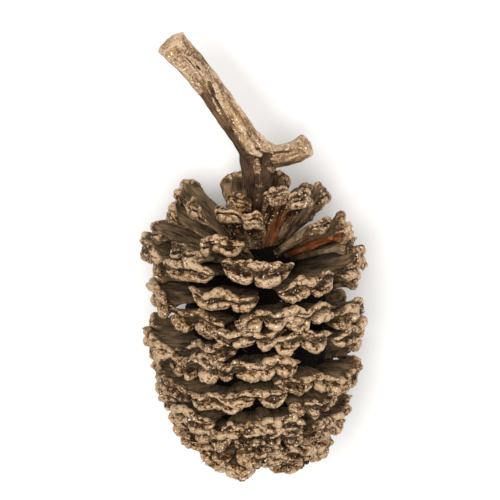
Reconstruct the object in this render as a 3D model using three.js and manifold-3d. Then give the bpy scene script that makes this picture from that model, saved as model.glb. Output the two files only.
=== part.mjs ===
// An alder cone on a cut piece of its twig, lying on its side.
// Millimetres, +Z up. The cone's axis runs along Y, with its stem end towards +Y.
// Each shape is written in the cone's own frame: the origin is on the axis where the
// uppermost scales spread from, and an azimuth of 0 faces up (+Z) and 90 faces +X.
import * as THREE from "three";
import { mergeVertices } from "three/addons/utils/BufferGeometryUtils.js";
import Module from "manifold-3d";

const wasm = await Module();
wasm.setup();

// Where the cone lies
const AXIS_HEIGHT = 6.95; // axis above the surface; the lowest rims are flat against it
const CROWN_Y = 0.44; // the cone's own origin, along Y
const AXIS_X = 0.29; // and across

// Outline of the cone, as [level along the axis, radius that the rims reach]
const REACH = [
  [5.9, 2.0],
  [4.6, 3.7],
  [3.3, 5.4],
  [2.1, 6.7],
  [1.2, 7.2],
  [-2.5, 7.4],
  [-6.0, 7.45],
  [-9.0, 7.15],
  [-11.0, 6.5],
  [-12.8, 5.6],
  [-14.2, 4.5],
  [-15.1, 3.5],
  [-15.6, 2.0],
];
// Where a scale leaves the axis, as [level of its rim, level of its root]
const ROOT_LEVEL = [
  [5.9, 0.4],
  [3.6, -0.2],
  [1.3, -0.6],
  [-1.0, -2.1],
  [-6.0, -6.3],
  [-10.0, -9.7],
  [-13.0, -12.2],
  [-14.5, -13.3],
  [-15.6, -13.9],
];
// Full width of a rim, as [level, width]
const RIM_WIDTH = [
  [5.9, 2.4],
  [3.0, 3.0],
  [1.6, 3.8],
  [0.5, 4.4],
  [-8.0, 4.4],
  [-11.0, 3.6],
  [-13.5, 3.0],
  [-15.6, 2.4],
];
const ROOT_RADIUS = 0.9; // a scale's root, from the axis
const ROOT_HALF_WIDTH = 0.55;

// Cross-section of a scale, from its root to its thick rim
const BLADE_HALF = 0.33; // half thickness of the blade
const RIM_DEPTH = 1.1; // how far in from the edge the rim begins
const LIP_HEIGHT = 0.6; // the wavy ribbon on the stem side of the rim
const KNOB_DROP = 0.85; // the knobs below it, on the tip side
const KNOB_RELIEF = 0.3; // how much the knobs swell
const GROOVE_DEPTH = 0.42; // groove between the ribbon and the knobs
const EDGE_THINNING = 0.55; // share of the rim's relief that is lost at its two ends
const EDGE_SETBACK = 0.6; // how far the rim's ends fall behind its middle
const WAVE = 0.2; // the rim's waves, towards and away from the stem
const FULL_RELIEF_WIDTH = 3.4; // narrower scales have less relief, in proportion
const WAVES = [1.3, 2.0]; // fewest and most half waves across a rim
const KNOBS = [2.2, 3.0]; // fewest and most half waves of knobs across it
const KNOB_INSET = 0.3; // how far the knobs stand behind the ribbon
const KNOB_LEAST = 0.6; // share of the knobs' drop that is left between them
const RIM_COLUMNS = 5;
const MID_COLUMNS = 2;
const MID_REACH = 0.5; // where the blade's middle row lies, as a share of its length

// The scales that face up, by hand: [azimuth in degrees, level, width, reach added]
const UPPER_SCALES = [
  // the crown, whose narrow scales spread like petals
  [31, 5.3, 1.9, 0],
  [-34, 4.2, 2.3, -0.5],
  [-4, 3.9, 1.6, -1.2],
  [59, 4.7, 2.3, 0.3],
  [57, 3.2, 2.4, 0.1],
  [70, 2.1, 2.2, 0.2],
  [-27, 2.4, 3.3, -0.2],
  [-53, 1.9, 3.4, -0.2],
  [-70, 3.9, 2.8, 0.3],
  [-88, 2.2, 3.4, 0.5],
  [-118, 4.3, 3.4, 1.5],
  [-148, 4.9, 2.3, -0.2],
  [146, 5.2, 2.0, -0.2],
  [108, 4.3, 2.6, 0.6],
  [-31, 4.9, 1.9, -0.8],
  [79, 1.5, 2.0, -0.5],
  [95, 2.4, 2.8, -0.3],
  [-95, 3.0, 2.8, 0.3],
  // the body, from the stem end to the tip
  [0, 1.35, 4.9, 0],
  [-46, 0.9, 4.6, 0],
  [31, 0.1, 4.5, 0],
  [-84, 0.7, 3.6, 0.7],
  [72, 0.2, 4.4, 0.3],
  [-20, -0.8, 5.0, 0],
  [9, -1.9, 5.0, 0],
  [-76, -1.9, 4.4, 0],
  [32, -2.7, 4.2, 0],
  [63, -2.7, 4.6, 0],
  [-39, -3.0, 4.6, 0],
  [-6, -3.5, 5.2, 0],
  [27, -4.2, 4.6, 0],
  [68, -5.0, 4.6, 0.2],
  [-28, -4.9, 4.0, 0],
  [-68, -4.9, 4.4, 0.6],
  [-11, -5.8, 3.6, 0],
  [11, -5.8, 3.2, 0],
  [-41, -6.6, 4.8, 0],
  [30, -6.8, 4.7, 0],
  [62, -7.9, 4.4, 0.1],
  [-60, -8.1, 4.2, 0],
  [-1, -7.8, 4.6, 0],
  [-26, -8.6, 4.4, 0],
  [39, -8.6, 4.2, 0],
  [-48, -9.9, 4.0, 0],
  [16, -9.9, 3.6, 0],
  [-8, -10.3, 3.4, 0],
  [44, -10.9, 3.4, 0],
  [-34, -11.3, 3.4, 0],
  [0, -11.7, 3.4, 0],
  [20, -11.3, 3.2, 0],
  [-56, -12.1, 2.8, 0],
  [52, -12.3, 2.8, 0],
  [3, -12.9, 3.4, 0],
  [36, -13.0, 3.2, 0],
  [-38, -13.0, 2.8, 0],
  [27, -14.0, 2.4, 0],
  [-19, -14.1, 2.6, 0],
  [-48, -14.2, 2.2, 0],
  [50, -14.4, 2.0, 0],
];
// The scales on the two sides, between those above and the spiral, in the same terms
const SIDE_SCALES = [
  [97, -1.4, 3.8, -0.1],
  [90, -4.3, 4.2, -0.1],
  [100, -6.3, 4.2, -0.1],
  [91, -8.6, 4.0, -0.1],
  [75, -11.0, 3.2, 0],
  [74, -13.2, 2.8, 0],
  [-105, -1.2, 3.6, -0.1],
  [-94, -5.6, 3.8, -0.1],
  [-86, -8.0, 3.2, -0.1],
  [-78, -12.0, 2.8, 0],
];
// The rest follow the spiral that alder scales grow in
const GOLDEN_ANGLE = 137.508;
const SPIRAL_START = 200; // azimuth of its first scale
const SPIRAL_TOP = 5.6; // level of its first scale
const SPIRAL_STEP = 0.237; // each next scale sits this much nearer the tip
const SPIRAL_SCALES = 89;
const CLEAR_ALONG = 1.9; // weight of a distance along the axis, against one around it
const CLEAR_SHARE = 1.0; // closest spacing of two rims, as a share of their width
const SPIN_JITTER = 8; // degrees
const LEVEL_JITTER = 0.25;
const ROLL_JITTER = 8; // degrees
const TILT_JITTER = 4; // degrees

// Woody core that the scales grow from, as [radius, level]
const CORE = [
  [0, -14.4],
  [1.4, -14.1],
  [2.9, -12.3],
  [4.0, -9.8],
  [4.8, -6.0],
  [4.8, -2.8],
  [3.7, -1.2],
  [2.5, 0.2],
  [1.9, 1.0],
  [1.3, 0.2],
  [0, 0.2],
];
const CORE_SIDES = 9;
// The hollow that the stalk sits in, as [radius, level]; it widens with the stalk
const SOCKET = [
  [0, -1.1],
  [1.08, -1.1],
  [1.08, 2.8],
  [1.55, 6.6],
  [0, 6.6],
];

// Stalk and twig: points along the middle, as [x, level, height over the axis], and radii
const STALK = [
  [0.0, -0.8, 0.0],
  [0.0, 2.4, 0.1],
  [0.05, 5.0, 0.15],
  [0.1, 7.1, 0.1],
];
const STALK_RADII = [0.64, 0.66, 0.95, 1.25];
const TWIG = [
  [3.25, 7.75, 0.5],
  [2.45, 7.25, 0.35],
  [1.2, 6.95, 0.15],
  [0.0, 7.3, 0.1],
  [-1.3, 8.9, 0.05],
  [-3.1, 11.5, 0.0],
  [-4.5, 13.3, 0.05],
  [-5.75, 14.75, 0.15],
];
const TWIG_RADII = [0.84, 0.7, 0.74, 1.0, 0.94, 0.88, 0.86, 0.98];
const TWIG_SIDES = 12;
const TWIG_RINGS = 26;
const STALK_RINGS = 10;
const RIDGES = 5; // lengthwise ridges of the bark
const RIDGE_RELIEF = 0.07; // as a share of the radius
const RIDGE_TWIST = 5; // radians that the ridges turn along a branch
const SWELLINGS = 9; // radians of the slow swellings along a branch
const CUT_SLANT = 0.35; // the twig's cut end leans by this share of its width

const WOOD = { colour: "#4f4130", roughness: 0.85, metalness: 0.05 };
const BARK = { colour: "#9c8261", roughness: 0.7, metalness: 0.15 };

// A value from 0 to 1 that looks random and is the same in every run.
function chance(index, channel) {
  const value = Math.sin(index * 12.9898 + channel * 78.233) * 43758.5453;
  return value - Math.floor(value);
}

// The same, from -1 to 1.
function swing(index, channel) {
  return 2 * chance(index, channel) - 1;
}

// Straight-line interpolation in a list of [level, value] that goes down in level.
function along(list, level) {
  if (level >= list[0][0]) return list[0][1];
  for (let i = 1; i < list.length; i++) {
    const [upper, from] = list[i - 1];
    const [lower, to] = list[i];
    if (level >= lower) return from + ((to - from) * (upper - level)) / (upper - lower);
  }
  return list[list.length - 1][1];
}

// The places and sizes of a list of scales set by hand.
function setByHand(list, firstIndex) {
  return list.map(([azimuth, level, width, added], i) => ({
    index: firstIndex + i,
    azimuth,
    level,
    width,
    reach: along(REACH, level) + added,
  }));
}

// Every scale: those that face up, then the spiral where it is still clear, then the sides.
function scalePlan() {
  const plan = setByHand(UPPER_SCALES, 0);
  const handSet = plan.length;
  for (let i = 0; i < SPIRAL_SCALES; i++) {
    const index = handSet + i;
    const azimuth = SPIRAL_START + GOLDEN_ANGLE * i + SPIN_JITTER * swing(index, 1);
    const level = SPIRAL_TOP - SPIRAL_STEP * i + LEVEL_JITTER * swing(index, 2);
    const width = along(RIM_WIDTH, level);
    const reach = along(REACH, level);
    const clear = plan.slice(0, handSet).every((other) => {
      const turn = THREE.MathUtils.degToRad(azimuth - other.azimuth);
      const around = Math.abs(Math.atan2(Math.sin(turn), Math.cos(turn))) * reach;
      const apart = Math.hypot(around, CLEAR_ALONG * (level - other.level));
      return apart > (CLEAR_SHARE * (width + other.width)) / 2;
    });
    if (clear) plan.push({ index, azimuth, level, width, reach });
  }
  return [...plan, ...setByHand(SIDE_SCALES, handSet + SPIRAL_SCALES)];
}

// Triangles between two rows of points that run the same way but may differ in number.
function zipRows(rowA, rowB, triangles) {
  let a = 0;
  let b = 0;
  while (a < rowA.length - 1 || b < rowB.length - 1) {
    const nextA = (a + 1) / (rowA.length - 1);
    const nextB = (b + 1) / (rowB.length - 1);
    if (b === rowB.length - 1 || (a < rowA.length - 1 && nextA <= nextB)) {
      triangles.push([rowA[a], rowB[b], rowA[a + 1]]);
      a++;
    } else {
      triangles.push([rowA[a], rowB[b], rowB[b + 1]]);
      b++;
    }
  }
}

// A geometry from triangles of points.
function geometryOf(triangles) {
  const geometry = new THREE.BufferGeometry();
  geometry.setFromPoints(triangles.flat());
  return geometry;
}

// A closed geometry as a solid that can be joined and cut.
function solidOf(geometry) {
  geometry.deleteAttribute("normal");
  geometry.deleteAttribute("uv");
  const merged = mergeVertices(geometry, 1e-4);
  const corners = merged.index.array;
  const faces = [];
  for (let i = 0; i < corners.length; i += 3) {
    const [a, b, c] = corners.slice(i, i + 3);
    if (a !== b && b !== c && c !== a) faces.push(a, b, c);
  }
  return new wasm.Manifold(
    new wasm.Mesh({
      numProp: 3,
      vertProperties: new Float32Array(merged.attributes.position.array),
      triVerts: new Uint32Array(faces),
    }),
  );
}

// A solid as a flat-shaded mesh.
function meshOf(name, solid, finish) {
  const { vertProperties, triVerts } = solid.getMesh();
  const geometry = new THREE.BufferGeometry();
  geometry.setAttribute("position", new THREE.BufferAttribute(vertProperties, 3));
  geometry.setIndex(new THREE.BufferAttribute(triVerts, 1));
  const material = new THREE.MeshStandardMaterial({
    color: finish.colour,
    roughness: finish.roughness,
    metalness: finish.metalness,
    flatShading: true,
  });
  const mesh = new THREE.Mesh(geometry, material);
  mesh.name = name;
  return mesh;
}

// One scale: a woody wedge whose thick rim is a wavy ribbon over a row of knobs.
function scaleSolid({ index, azimuth, level, width, reach }) {
  const spin = THREE.MathUtils.degToRad(azimuth);
  const outward = new THREE.Vector3(Math.sin(spin), 0, Math.cos(spin));
  const stemward = new THREE.Vector3(0, 1, 0);
  const rootLevel = along(ROOT_LEVEL, level);
  const tilt =
    Math.atan2(level - rootLevel, reach - ROOT_RADIUS) +
    THREE.MathUtils.degToRad(TILT_JITTER * swing(index, 3));
  const length = Math.hypot(level - rootLevel, reach - ROOT_RADIUS);
  const root = outward.clone().multiplyScalar(ROOT_RADIUS).addScaledVector(stemward, rootLevel);
  const out = outward.clone().multiplyScalar(Math.cos(tilt));
  out.addScaledVector(stemward, Math.sin(tilt));
  const roll = THREE.MathUtils.degToRad(ROLL_JITTER * swing(index, 4));
  const side = new THREE.Vector3(Math.cos(spin), 0, -Math.sin(spin)).applyAxisAngle(out, roll);
  const up = out.clone().cross(side);

  const waves = THREE.MathUtils.lerp(...WAVES, chance(index, 5));
  const wavePhase = 2 * Math.PI * chance(index, 6);
  const knobs = THREE.MathUtils.lerp(...KNOBS, chance(index, 7));
  const knobPhase = 2 * Math.PI * chance(index, 8);
  const sizeShare = Math.min(1, width / FULL_RELIEF_WIDTH);

  // A point by its distance from the root, place across (-1 to 1) and height off the blade.
  const point = (distance, across, height) => {
    const share = Math.max(0, distance / length);
    const halfWidth = ROOT_HALF_WIDTH + (width / 2 - ROOT_HALF_WIDTH) * share;
    const wave = WAVE * sizeShare * share ** 3 * Math.sin(waves * Math.PI * across + wavePhase);
    const setback = EDGE_SETBACK * sizeShare * share ** 2 * across ** 2;
    return root
      .clone()
      .addScaledVector(out, distance - setback)
      .addScaledVector(side, halfWidth * across)
      .addScaledVector(up, height + wave);
  };
  const relief = (across) => 1 - EDGE_THINNING * across ** 2;
  const knob = (across) => 0.5 + 0.5 * Math.sin(knobs * Math.PI * across + knobPhase);
  const knobDrop = (across) => KNOB_DROP * relief(across) * (KNOB_LEAST * (1 + knob(across)));
  const row = (columns, place) =>
    Array.from({ length: columns }, (_, i) => place((2 * i) / (columns - 1) - 1));

  const rimStart = length - RIM_DEPTH;
  const rows = [
    row(2, (s) => point(0, s, BLADE_HALF)),
    row(MID_COLUMNS, (s) => point(length * MID_REACH, s, BLADE_HALF)),
    row(RIM_COLUMNS, (s) => point(rimStart, s, BLADE_HALF)),
    row(RIM_COLUMNS, (s) => point(length, s, LIP_HEIGHT * relief(s))),
    row(RIM_COLUMNS, (s) => point(length - GROOVE_DEPTH, s, 0)),
    row(RIM_COLUMNS, (s) => point(length - KNOB_INSET + KNOB_RELIEF * knob(s), s, -knobDrop(s))),
    row(RIM_COLUMNS, (s) => point(rimStart, s, -BLADE_HALF)),
    row(MID_COLUMNS, (s) => point(length * MID_REACH, s, -BLADE_HALF)),
    row(2, (s) => point(0, s, -BLADE_HALF)),
  ];
  const triangles = [];
  rows.forEach((current, i) => zipRows(current, rows[(i + 1) % rows.length], triangles));
  // The two narrow sides, as [rows of one triangle].
  const sideFaces = [
    [0, 1, 8],
    [1, 7, 8],
    [1, 2, 7],
    [2, 6, 7],
    [2, 3, 4],
    [2, 4, 6],
    [4, 5, 6],
  ];
  for (const [a, b, c] of sideFaces) {
    const last = (k) => rows[k][rows[k].length - 1];
    triangles.push([rows[a][0], rows[c][0], rows[b][0]]);
    triangles.push([last(a), last(b), last(c)]);
  }
  return solidOf(geometryOf(triangles));
}

// A round solid about the cone's axis from a profile of [radius, level].
function turned(profile, sides) {
  const points = profile.map(([radius, level]) => new THREE.Vector2(radius, level));
  return solidOf(new THREE.LatheGeometry(points, sides));
}

// The outer body alone: any hollow that neighbouring scales close off is filled with wood.
function largestBody(solid) {
  return solid.decompose().reduce((a, b) => (a.volume() > b.volume() ? a : b));
}

// The cone: every scale and the core in one body, with the lowest rims flat.
function coneSolid() {
  const scales = scalePlan().map(scaleSolid);
  return largestBody(
    wasm.Manifold.union([turned(CORE, CORE_SIDES), ...scales])
      .subtract(turned(SOCKET, CORE_SIDES))
      .trimByPlane([0, 0, 1], -AXIS_HEIGHT),
  );
}

// A ridged branch along a curve, with a radius at each of its points.
function branchSolid(points, radii, rings, slant) {
  const path = new THREE.CatmullRomCurve3(points.map((p) => new THREE.Vector3(...p)));
  const levels = new THREE.CatmullRomCurve3(radii.map((r, i) => new THREE.Vector3(i, r, 0)));
  const ringRows = [];
  for (let i = 0; i <= rings; i++) {
    const t = i / rings;
    const centre = path.getPoint(t);
    const tangent = path.getTangent(t);
    const across = new THREE.Vector3(0, 0, 1).cross(tangent).normalize();
    const over = across.clone().cross(tangent);
    const radius = levels.getPoint(t).y;
    const ring = [];
    for (let k = 0; k < TWIG_SIDES; k++) {
      const angle = (2 * Math.PI * k) / TWIG_SIDES;
      const ridge = 1 + RIDGE_RELIEF * Math.cos(RIDGES * angle + RIDGE_TWIST * t);
      const knobbly = 1 + RIDGE_RELIEF * Math.sin(SWELLINGS * t + 2 * angle);
      const r = radius * ridge * knobbly;
      const lean = i === rings ? slant * r * Math.cos(angle) : 0;
      ring.push(
        centre
          .clone()
          .addScaledVector(across, r * Math.cos(angle))
          .addScaledVector(over, r * Math.sin(angle))
          .addScaledVector(tangent, lean),
      );
    }
    ring.push(ring[0]);
    ringRows.push(ring);
  }
  const triangles = [];
  ringRows.slice(1).forEach((ring, i) => zipRows(ringRows[i], ring, triangles));
  const closeEnd = (ring, flip) => {
    const middle = new THREE.Vector3();
    ring.slice(1).forEach((p) => middle.addScaledVector(p, 1 / (ring.length - 1)));
    ring.slice(1).forEach((p, i) => {
      triangles.push(flip ? [middle, p, ring[i]] : [middle, ring[i], p]);
    });
  };
  closeEnd(ringRows[0], false);
  closeEnd(ringRows[rings], true);
  return solidOf(geometryOf(triangles));
}

// The stalk out of the cone and the piece of twig that it grew on.
function twigSolid() {
  const stalk = branchSolid(STALK, STALK_RADII, STALK_RINGS, 0);
  return branchSolid(TWIG, TWIG_RADII, TWIG_RINGS, CUT_SLANT).add(stalk);
}

const part = new THREE.Group();
part.name = "alder_cone";
part.position.set(AXIS_X, CROWN_Y, AXIS_HEIGHT);
part.add(meshOf("cone", coneSolid(), WOOD));
part.add(meshOf("twig", twigSolid(), BARK));

export default part;
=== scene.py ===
import logging
import math
from dataclasses import asdict, dataclass, field
from enum import Enum, IntEnum
from typing import NamedTuple

import bpy
import numpy as np
from mathutils import Matrix, Vector


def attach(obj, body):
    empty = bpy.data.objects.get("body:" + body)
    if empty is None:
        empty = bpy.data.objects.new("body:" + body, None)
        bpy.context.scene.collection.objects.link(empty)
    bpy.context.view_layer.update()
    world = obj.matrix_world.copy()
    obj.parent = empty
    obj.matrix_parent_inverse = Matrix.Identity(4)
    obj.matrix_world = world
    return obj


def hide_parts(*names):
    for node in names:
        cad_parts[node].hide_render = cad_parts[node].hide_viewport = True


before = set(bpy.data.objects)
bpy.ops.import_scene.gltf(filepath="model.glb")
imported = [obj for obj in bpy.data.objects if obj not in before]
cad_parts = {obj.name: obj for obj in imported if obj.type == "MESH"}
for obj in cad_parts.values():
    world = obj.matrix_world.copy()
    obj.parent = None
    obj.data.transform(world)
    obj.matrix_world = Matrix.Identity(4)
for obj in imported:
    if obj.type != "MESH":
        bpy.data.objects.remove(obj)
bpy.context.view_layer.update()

# An alder cone on its cut twig, lying along Y with its stem end towards +Y.
# Shapes are worked out in millimetres in the cone's own frame, whose origin is on the axis
# where the scales of the stem end spread from, and are put in the row frame in metres.

LOG = logging.getLogger("alder_cone")

MM = 0.001
# The cone's own origin in the row frame, in millimetres: across, along and up
AXIS_X = 0.29
CROWN_Y = 0.44
AXIS_HEIGHT = 6.95
# Factors that scramble numbers: those of a sine, and those of a lattice of whole numbers.
INDEX_FACTOR, CHANNEL_FACTOR, SINE_FACTOR = 12.9898, 78.233, 43758.5453
X_FACTOR, Y_FACTOR, Z_FACTOR = 73856093, 19349663, 83492791
SEED_FACTOR, LAST_FACTOR = 2654435761, 1274126177
SIXTEEN_BITS = 0xFFFF
# The share of a strip's radius that counts as its middle
STRIP_CORE = 0.45

Array = np.ndarray
Pair = tuple[float, float]
Point = tuple[float, float, float]
Rows = tuple[tuple[float, ...], ...]


class Slot(Enum):
    """Material slots of the record."""

    SCALE = "scale_wood"
    BARK = "twig_bark"


class Part(Enum):
    """Bands of the cone that are built as one piece each, from the stem end to the tip."""

    STEM_END = "stem_end_scales"
    SHOULDER = "shoulder_scales"
    WAIST = "waist_scales"
    LOWER = "lower_scales"
    TIP = "tip_scales"


class Draw(IntEnum):
    """What each of a scale's draws decides; a pad's own number is added to the PAD ones."""

    AZIMUTH = 1
    LEVEL = 2
    TILT = 3
    ROLL = 4
    WAVES = 5
    WAVE_PHASE = 6
    SLOW_FRILL = 9
    SLOW_PHASE = 10
    FAST_FRILL = 11
    FAST_PHASE = 13
    KNOBS = 14
    LIP = 15
    CUP = 16
    GROOVE = 17
    THINNING = 18
    PADS = 19
    PAD_SHARE = 20
    PAD_HALF = 30
    PAD_HEIGHT = 40
    DUST = 50
    CREST = 51


def chance(index: float, channel: float) -> float:
    """A value from 0 to 1 for a thing's draw: the fraction of a large multiple of a sine."""
    value = np.sin(np.asarray(index, float) * INDEX_FACTOR + channel * CHANNEL_FACTOR) * SINE_FACTOR
    return float(value - np.floor(value))


def swing(index: float, channel: float) -> float:
    """The same draw, spread from -1 to 1."""
    return 2.0 * chance(index, channel) - 1.0


def smooth_step(low: float, high: float, value: Array) -> Array:
    """0 below low, 1 above high, and the cubic 3t^2 - 2t^3 between them."""
    t = np.clip((value - low) / (high - low), 0.0, 1.0)
    return t * t * (3.0 - 2.0 * t)


def value_noise(points: Array, seed: int) -> Array:
    """Smooth noise: random values on a unit lattice, blended by the cubic 3t^2 - 2t^3.

    Args:
        points: an array of positions, with x, y and z on its last axis.
        seed: picks another pattern.

    Returns:
        Values from -1 to 1, one for each position.
    """
    cell = np.floor(points).astype(np.int64)
    t = points - cell
    t = t * t * (3.0 - 2.0 * t)
    total = np.zeros(points.shape[:-1])
    for corner in range(8):
        step = np.array([corner & 1, (corner >> 1) & 1, (corner >> 2) & 1])
        x, y, z = np.moveaxis(cell + step, -1, 0)
        mixed = (x * X_FACTOR) ^ (y * Y_FACTOR) ^ (z * Z_FACTOR) ^ (seed * SEED_FACTOR)
        mixed = (mixed ^ (mixed >> 13)) * LAST_FACTOR
        share = ((mixed ^ (mixed >> 16)) & SIXTEEN_BITS) / (SIXTEEN_BITS / 2) - 1.0
        total += share * np.prod(np.where(step == 1, t, 1.0 - t), axis=-1)
    return total


def rough_noise(points: Array, seed: int, octaves: int = 3) -> Array:
    """Layers of value noise, each twice as fine and half as strong as the one before."""
    layers = (value_noise(points * 2.03**i, seed + i) * 0.5**i for i in range(octaves))
    return sum(layers, np.zeros(points.shape[:-1]))


class Rough(NamedTuple):
    """Noise on a surface: features a millimetre, height in millimetres, seed and octaves."""

    density: float
    height: float
    seed: int
    octaves: int = 1

    def at(self, points: Array, shift: float = 0.0) -> Array:
        """The noise at some points; the shift makes it another one for each scale."""
        return rough_noise(points * self.density + shift, self.seed, self.octaves) * self.height


def curve_weights(counts: tuple[int, ...]) -> Array:
    """Weights that carry control points to points on a Catmull-Rom curve through them.

    Each span between two control points is the cubic that passes both and leaves each
    along the line that joins its two neighbours.

    Args:
        counts: how many points lie on each span; the last point is added.

    Returns:
        An array of points by control points.
    """
    spans = len(counts)
    rows = []
    for i, count in enumerate(counts):
        t = np.arange(count + (i == spans - 1)) / count
        basis = (
            -0.5 * t + t**2 - 0.5 * t**3,
            1.0 - 2.5 * t**2 + 1.5 * t**3,
            0.5 * t + 2.0 * t**2 - 1.5 * t**3,
            -0.5 * t**2 + 0.5 * t**3,
        )
        block = np.zeros((len(t), spans + 1))
        for k, weight in enumerate(basis):
            block[:, min(max(i - 1 + k, 0), spans)] += weight
        rows.append(block)
    return np.concatenate(rows)


def grid_normals(points: Array) -> Array:
    """Unit normals of a grid of points: the cross product of its two tangent fields."""
    normal = np.cross(np.gradient(points, axis=0), np.gradient(points, axis=1))
    return normal / np.maximum(np.linalg.norm(normal, axis=-1, keepdims=True), 1e-9)


def grid_crest(points: Array, normals: Array, step: int, scale: float) -> Array:
    """How far each point stands out of its surroundings, in parts of a scale.

    Each point is held against the mean of the four points some steps away, along its
    own normal.

    Args:
        points: a grid of positions.
        normals: their unit normals.
        step: how many points away the surroundings are.
        scale: the height that counts as 1.

    Returns:
        Values from -1 in a crevice to 1 on a crest.
    """
    rows, columns = points.shape[:2]
    wide = np.pad(points, ((step, step), (step, step), (0, 0)), mode="edge")
    inner = slice(step, -step)
    around = wide[:rows, inner] + wide[2 * step :, inner]
    around = around + wide[inner, :columns] + wide[inner, 2 * step :]
    return np.clip(((points - around / 4.0) * normals).sum(-1) / scale, -1.0, 1.0)


def grid_faces(rows: int, columns: int) -> Array:
    """Quads of a grid whose last column meets its first.

    Args:
        rows: points down each column.
        columns: points round each row.

    Returns:
        Four point numbers a face, the second one row on from the first.
    """
    number = np.arange(rows * columns).reshape(rows, columns)
    beside = np.roll(number, -1, axis=1)
    quads = np.stack([number[:-1], number[1:], beside[1:], beside[:-1]], axis=-1)
    return quads.reshape(-1, 4)


def near_strips(points: Array, strips: Rows) -> Array:
    """How near points are to some straight strips: 1 near a strip's line, 0 from its radius on.

    Args:
        points: positions in the cone's frame.
        strips: the two ends of each strip, x, y and z, and its radius.

    Returns:
        A value for each point.
    """
    near = np.zeros(points.shape[:-1])
    for strip in strips:
        start, end, radius = np.array(strip[:3]), np.array(strip[3:6]), strip[6]
        line = end - start
        t = np.clip(((points - start) @ line) / (line @ line), 0.0, 1.0)
        away = np.linalg.norm(points - start - t[..., None] * line, axis=-1)
        near = np.maximum(near, 1.0 - smooth_step(STRIP_CORE * radius, radius, away))
    return near


@dataclass
class Surface:
    """Points in millimetres, faces and named values that become one mesh."""

    points: list[Array] = field(default_factory=list)
    quads: list[Array] = field(default_factory=list)
    loops: list[Array] = field(default_factory=list)
    values: dict[str, list[Array]] = field(default_factory=dict)
    count: int = 0

    def add(self, points: Array, quads: Array, values: dict[str, Array], rings: list[Array]) -> None:
        """Appends one closed shell.

        Args:
            points: a grid of positions in the cone's frame, in millimetres.
            quads: four point numbers a face, counted from this shell's first point.
            values: a number or a vector for each point, by name.
            rings: point numbers of further many-sided faces.
        """
        self.points.append(points.reshape(-1, 3))
        self.quads.append(quads + self.count)
        self.loops.extend(ring + self.count for ring in rings)
        for name, value in values.items():
            flat = value.reshape(-1, 3) if value.ndim == 3 else value.ravel()
            self.values.setdefault(name, []).append(flat)
        self.count += len(self.points[-1])

    def mesh(self, name: str) -> bpy.types.Mesh:
        """Writes the surface into a smooth mesh, in metres in the row frame.

        Args:
            name: the mesh's name.

        Returns:
            The mesh, with its values as point attributes.
        """
        points = np.concatenate(self.points) + np.array([AXIS_X, CROWN_Y, AXIS_HEIGHT])
        points[:, 2] = np.maximum(points[:, 2], 0.0)
        quads = np.concatenate(self.quads)
        corners = np.concatenate([quads.ravel(), *self.loops]).astype(np.int32)
        sizes = np.concatenate([np.full(len(quads), 4), [len(ring) for ring in self.loops]])
        starts = np.concatenate([[0], np.cumsum(sizes)[:-1]]).astype(np.int32)
        mesh = bpy.data.meshes.new(name)
        mesh.vertices.add(len(points))
        mesh.vertices.foreach_set("co", (points * MM).astype(np.float32).ravel())
        mesh.loops.add(len(corners))
        mesh.loops.foreach_set("vertex_index", corners)
        mesh.polygons.add(len(sizes))
        mesh.polygons.foreach_set("loop_start", starts)
        mesh.update(calc_edges=True)
        mesh.polygons.foreach_set("use_smooth", np.ones(len(sizes), bool))
        for key, parts in self.values.items():
            value = np.concatenate(parts).astype(np.float32)
            kind, socket = ("FLOAT_VECTOR", "vector") if value.ndim == 2 else ("FLOAT", "value")
            mesh.attributes.new(key, kind, "POINT").data.foreach_set(socket, value.ravel())
        mesh.update()
        return mesh


def place_piece(surface: Surface, name: str, node: str, finish: bpy.types.Material) -> None:
    """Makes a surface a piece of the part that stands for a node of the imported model.

    Args:
        surface: the shape.
        name: the piece's name.
        node: the node that it replaces.
        finish: its material.
    """
    piece = bpy.data.objects.new(name, surface.mesh(name))
    bpy.context.scene.collection.objects.link(piece)
    piece.data.materials.append(finish)
    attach(piece, "root")
    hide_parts(node)
    triangles = sum(len(quads) for quads in surface.quads) * 2
    LOG.info("%s: %d points, about %d triangles", name, surface.count, triangles)


# Shader helpers

Node = bpy.types.Node
Socket = bpy.types.NodeSocket
Tree = bpy.types.NodeTree
Colour = tuple[float, float, float, float]
FLOAT, COLOUR, VECTOR = "NodeSocketFloat", "NodeSocketColor", "NodeSocketVector"


def shade(red: int, green: int, blue: int) -> Colour:
    """A screen colour as the linear colour that a shader takes.

    Args:
        red: 0 to 255, as are the other two.
        green: its green.
        blue: its blue.

    Returns:
        Its linear red, green and blue, and 1 for solid.
    """
    parts = np.array([red, green, blue]) / 255.0
    linear = np.where(parts <= 0.04045, parts / 12.92, ((parts + 0.055) / 1.055) ** 2.4)
    return (*[float(v) for v in linear], 1.0)


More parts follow.
